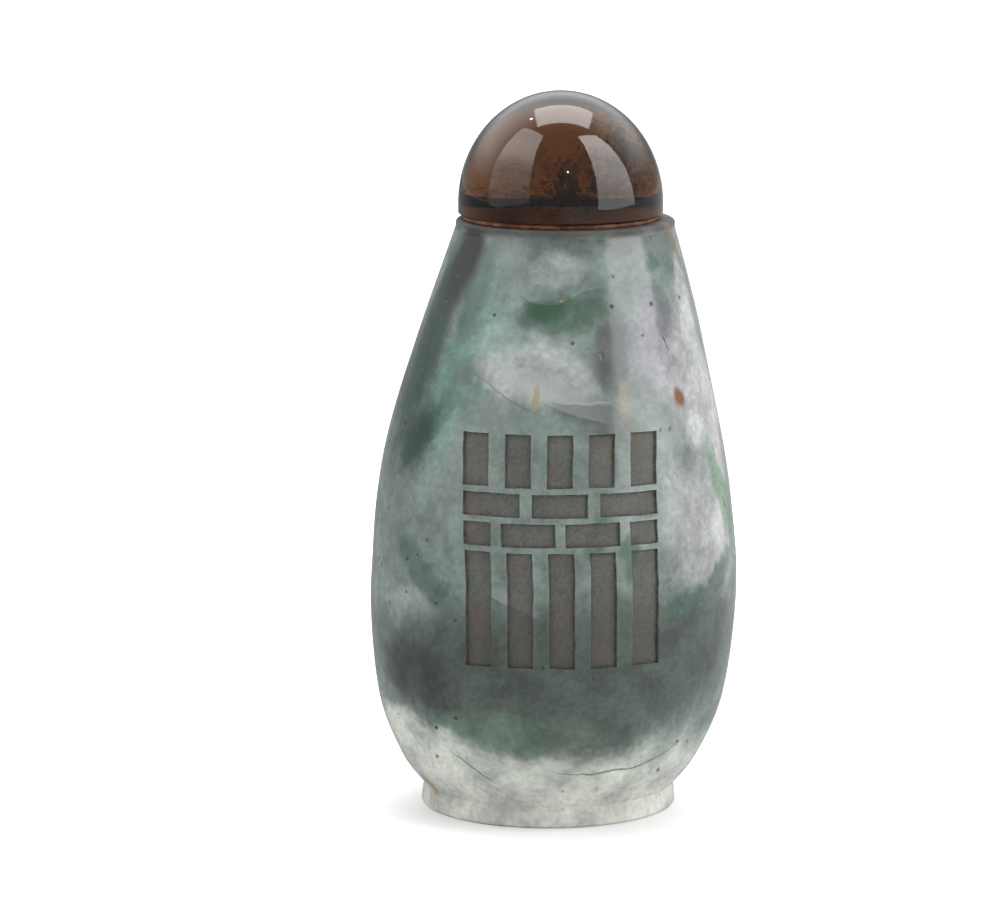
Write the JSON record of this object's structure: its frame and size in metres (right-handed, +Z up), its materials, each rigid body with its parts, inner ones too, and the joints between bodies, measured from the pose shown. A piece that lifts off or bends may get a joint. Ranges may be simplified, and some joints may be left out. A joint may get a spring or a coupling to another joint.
{
  "type": "snuff bottle",
  "caption": "Small hollow jadeite snuff bottle on a low foot ring, its front engraved with rows of shallow strokes, closed by a domed smoky quartz stopper on a thin collar.",
  "frame": {"origin": "on the ground, under the middle of the belly", "axes": "+Z up, along the bottle's height; the engraved panel faces -Y"},
  "size_m": [0.0348, 0.0348, 0.068],
  "materials": {
    "jadeite": "polished, mottled grey-green and lavender stone, matt in the engraved strokes",
    "collar_lacquer": "satin red-brown lacquer",
    "smoky_quartz": "polished clear brown crystal with veils inside"
  },
  "bodies": {
    "root": {"bottle": "jadeite", "collar": "collar_lacquer", "stopper": "smoky_quartz"}
  },
  "joints": []
}
